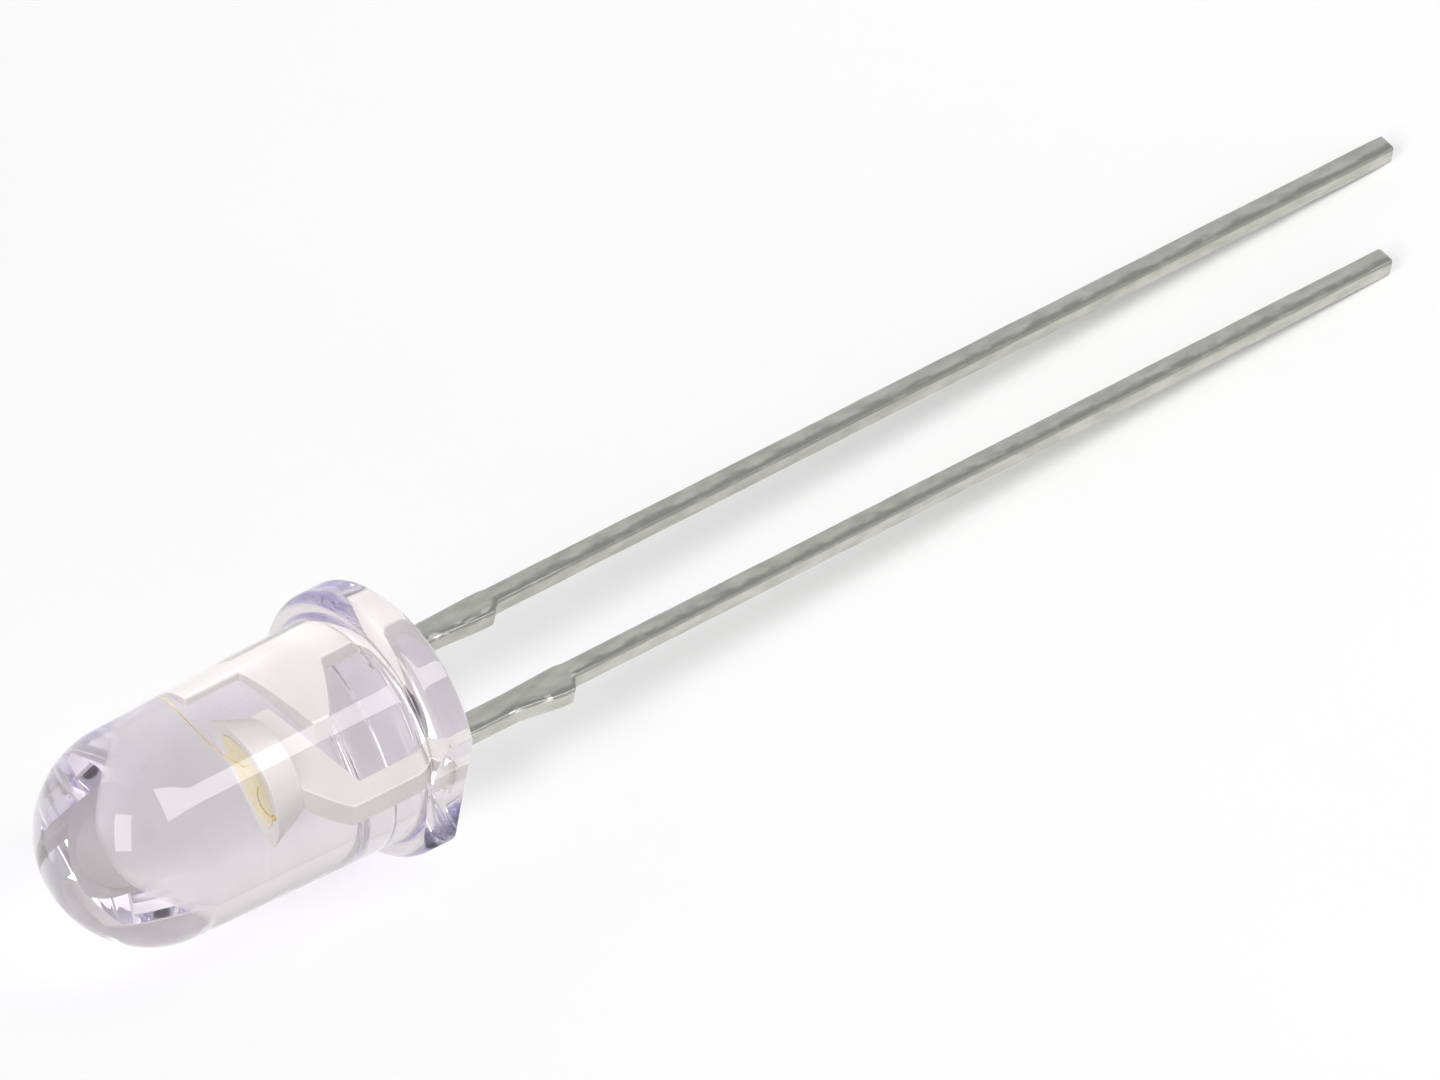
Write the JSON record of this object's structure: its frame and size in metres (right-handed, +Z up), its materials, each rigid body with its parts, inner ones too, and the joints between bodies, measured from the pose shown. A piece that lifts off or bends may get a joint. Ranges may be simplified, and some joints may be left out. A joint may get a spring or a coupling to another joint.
{
  "type": "through hole led",
  "caption": "Through hole lamp with a clear domed epoxy lens, a flange with a flat on the cathode side and straight square leads, lying on its side.",
  "frame": {"origin": "middle of the bounding box on the ground plane that the lamp lies on", "axes": "+X along the lamp from the dome towards the lead ends, +Y towards the anode lead, +Z up from the ground"},
  "size_m": [0.0374, 0.0058, 0.006],
  "materials": {
    "clear_epoxy": "gloss",
    "tinned_steel": "satin",
    "die_adhesive": "satin",
    "chip": "polished",
    "phosphor": "satin",
    "gold_wire": "polished"
  },
  "bodies": {
    "root": {"lens": "clear_epoxy", "cathode_lead": "tinned_steel", "anode_lead": "tinned_steel", "die_attach": "die_adhesive", "led_chip": "chip", "phosphor": "phosphor", "anode_bond_wire": "gold_wire", "cathode_bond_wire": "gold_wire"}
  },
  "joints": []
}
